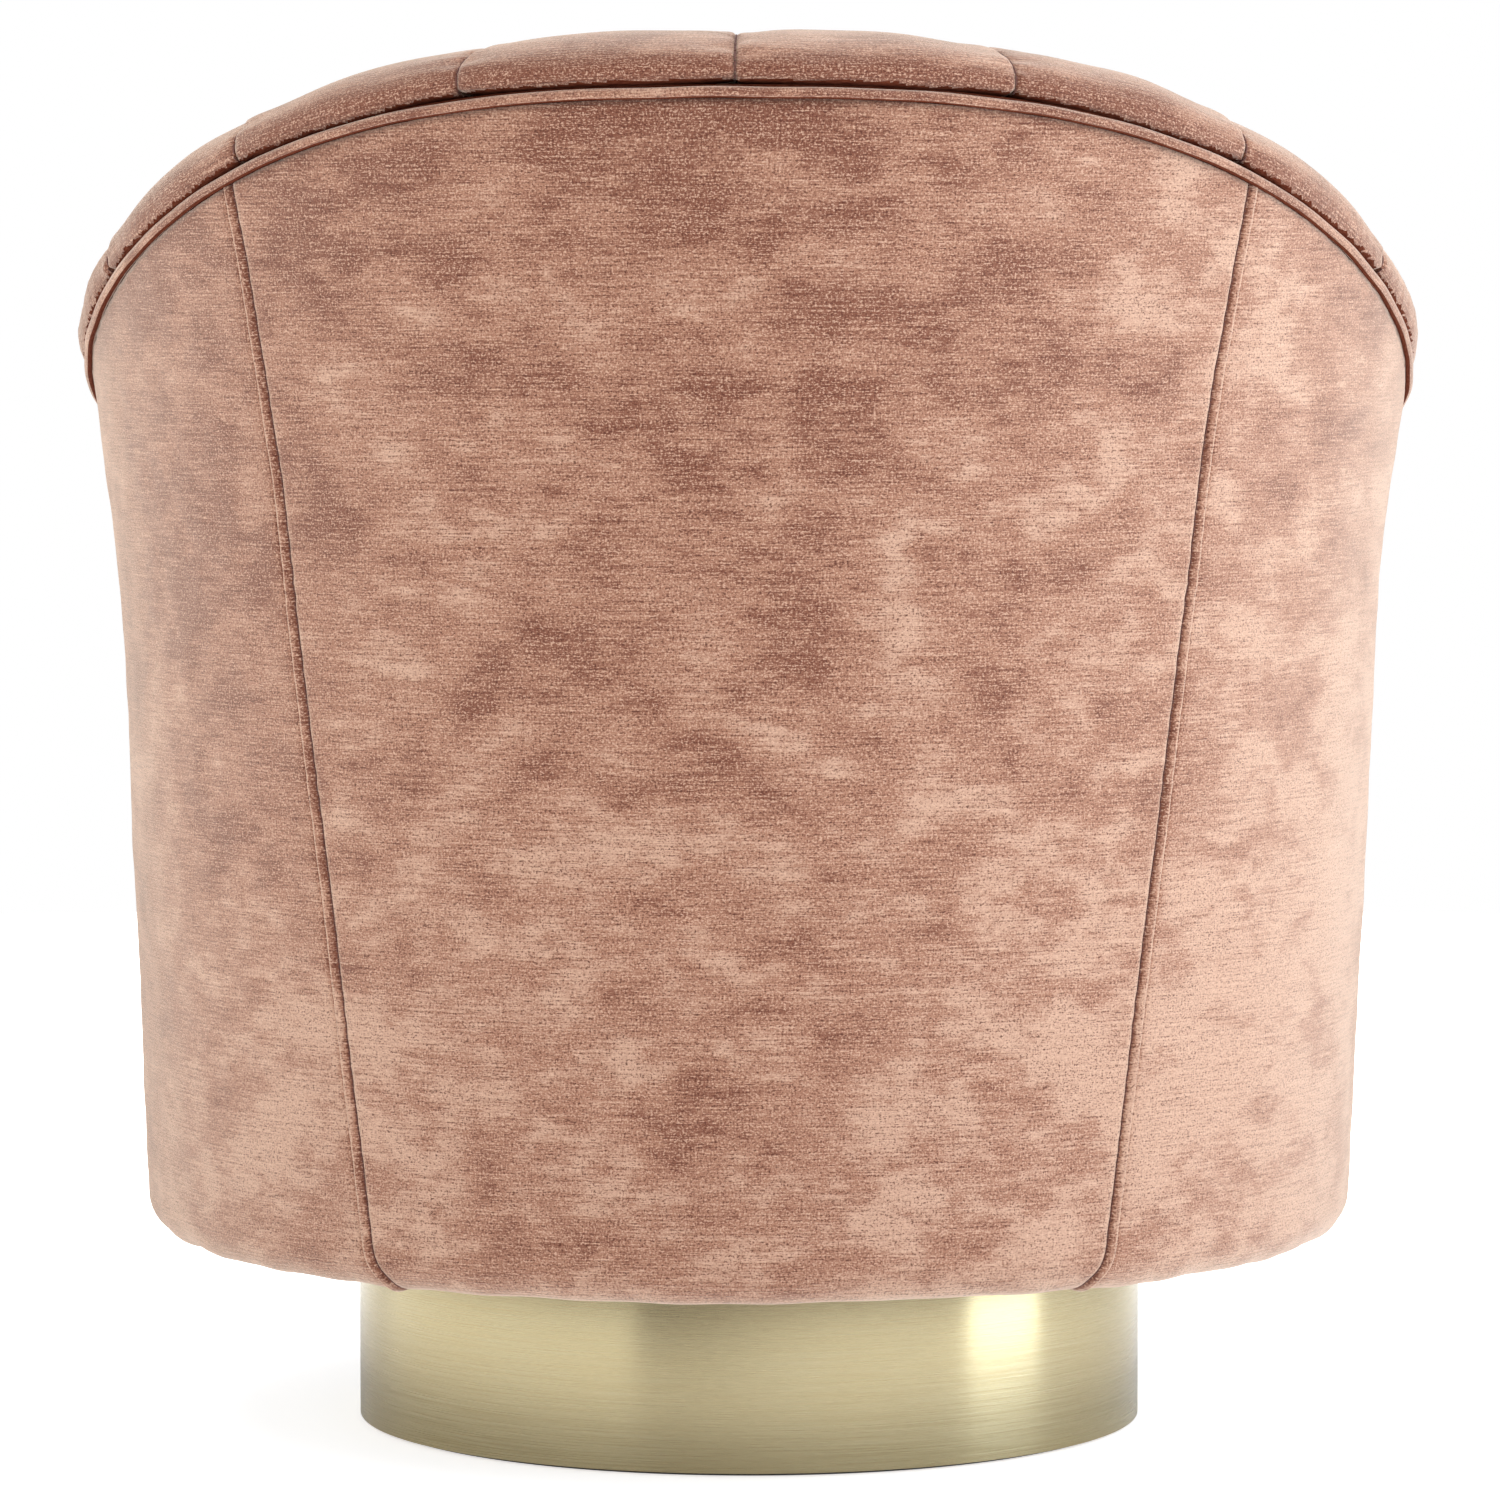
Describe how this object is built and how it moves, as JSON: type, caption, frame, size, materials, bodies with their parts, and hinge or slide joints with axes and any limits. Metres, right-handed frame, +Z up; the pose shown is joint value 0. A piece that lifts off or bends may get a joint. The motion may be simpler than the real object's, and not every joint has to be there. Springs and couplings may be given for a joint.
{
  "type": "swivel glider chair",
  "caption": "Upholstered barrel chair with a channel-tufted inside and rolled top edge, gliding on hidden swing links over a round brass-tone swivel drum.",
  "frame": {"origin": "on the swivel axis at the floor, the middle of the drum base's underside", "axes": "+Z up; the sitter faces -Y, the back is at +Y; +X is to the sitter's left"},
  "size_m": [0.7531, 0.7373, 0.78],
  "materials": {
    "felt": "black pressed felt",
    "plywood": "raw birch plywood",
    "hardwood": "raw sawn hardwood",
    "zinc": "bright zinc plated",
    "brass_band": "pale brushed brass tone, grain round the drum",
    "plate_steel": "black powder coat",
    "bearing_steel": "polished balls",
    "bush_plastic": "natural nylon",
    "spring_steel": "oil tempered wire",
    "hardboard": "pressed fibre board",
    "deck_cloth": "woven deck cloth",
    "foam": "upholstery foam",
    "black_cambric": "non-woven dust cover",
    "velvet": "dusty rose crushed velvet with fine slubs"
  },
  "bodies": {
    "base": {"base_felt_pad": "felt", "base_bottom_board": "plywood", "base_top_board": "plywood", "base_spacer_blocks": "hardwood", "base_board_screws": "zinc", "base_hoop": "plywood", "base_brass_band": "brass_band", "swivel_lower_plate": "plate_steel", "swivel_plate_bolts": "zinc", "king_bolt": "zinc", "king_nut": "zinc"},
    "ball_cage": {"ball_cage": "plate_steel", "bearing_balls": "bearing_steel"},
    "swivel": {"swivel_upper_plate": "plate_steel", "cradle_cross_tubes": "plate_steel", "cradle_bolts": "zinc", "cradle_tower_left": "plate_steel", "cradle_tower_right": "plate_steel", "upper_pivot_rivets": "zinc"},
    "rear_links": {"rear_swing_links": "plate_steel", "rear_link_bushes": "bush_plastic"},
    "front_links": {"front_swing_links": "plate_steel", "front_link_bushes": "bush_plastic"},
    "seat": {"arm_front_left": "velvet", "arm_front_right": "velvet", "carriage_bolts": "zinc", "carriage_cross_tubes": "plate_steel", "carriage_rails": "plate_steel", "carriage_uprights": "plate_steel", "channel_left_1": "velvet", "channel_left_2": "velvet", "channel_left_3": "velvet", "channel_left_4": "velvet", "channel_left_5": "velvet", "channel_left_6": "velvet", "channel_right_1": "velvet", "channel_right_2": "velvet", "channel_right_3": "velvet", "channel_right_4": "velvet", "channel_right_5": "velvet", "channel_right_6": "velvet", "deck_cloth": "deck_cloth", "deck_foam": "foam", "dust_cover": "black_cambric", "frame_bottom_ring": "plywood", "frame_front_rail": "plywood", "frame_posts": "plywood", "frame_top_rail": "plywood", "front_panel": "velvet", "inner_liner": "hardboard", "lower_pivot_rivets": "zinc", "outer_panel_back": "velvet", "outer_panel_left": "velvet", "outer_panel_right": "velvet", "seat_cushion": "velvet", "seat_ring": "plywood", "sinuous_springs": "spring_steel", "spring_clips": "zinc", "welt": "velvet"}
  },
  "joints": [
    {"name": "swivel_turn", "type": "hinge", "parent": "base", "child": "swivel", "pos_m": [0, 0, 0.107], "axis": [0, 0, 1], "continuous": true},
    {"name": "cage_turn", "type": "hinge", "parent": "base", "child": "ball_cage", "pos_m": [0, 0, 0.107], "axis": [0, 0, 1], "continuous": true},
    {"name": "rear_link_swing", "type": "hinge", "parent": "swivel", "child": "rear_links", "pos_m": [0, 0.08, 0.25], "axis": [1, 0, 0], "range_deg": [-20, 20]},
    {"name": "front_link_swing", "type": "hinge", "parent": "swivel", "child": "front_links", "pos_m": [0, -0.08, 0.25], "axis": [1, 0, 0], "range_deg": [-20, 20]},
    {"name": "seat_glide", "type": "hinge", "parent": "rear_links", "child": "seat", "pos_m": [0, 0.08, 0.13], "axis": [1, 0, 0], "range_deg": [-20, 20]}
  ],
  "couplings": [
    {"joint": "cage_turn", "follows": "swivel_turn", "ratio": 0.5},
    {"joint": "rear_link_swing", "follows": "seat_glide", "ratio": -1},
    {"joint": "front_link_swing", "follows": "seat_glide", "ratio": -1}
  ]
}
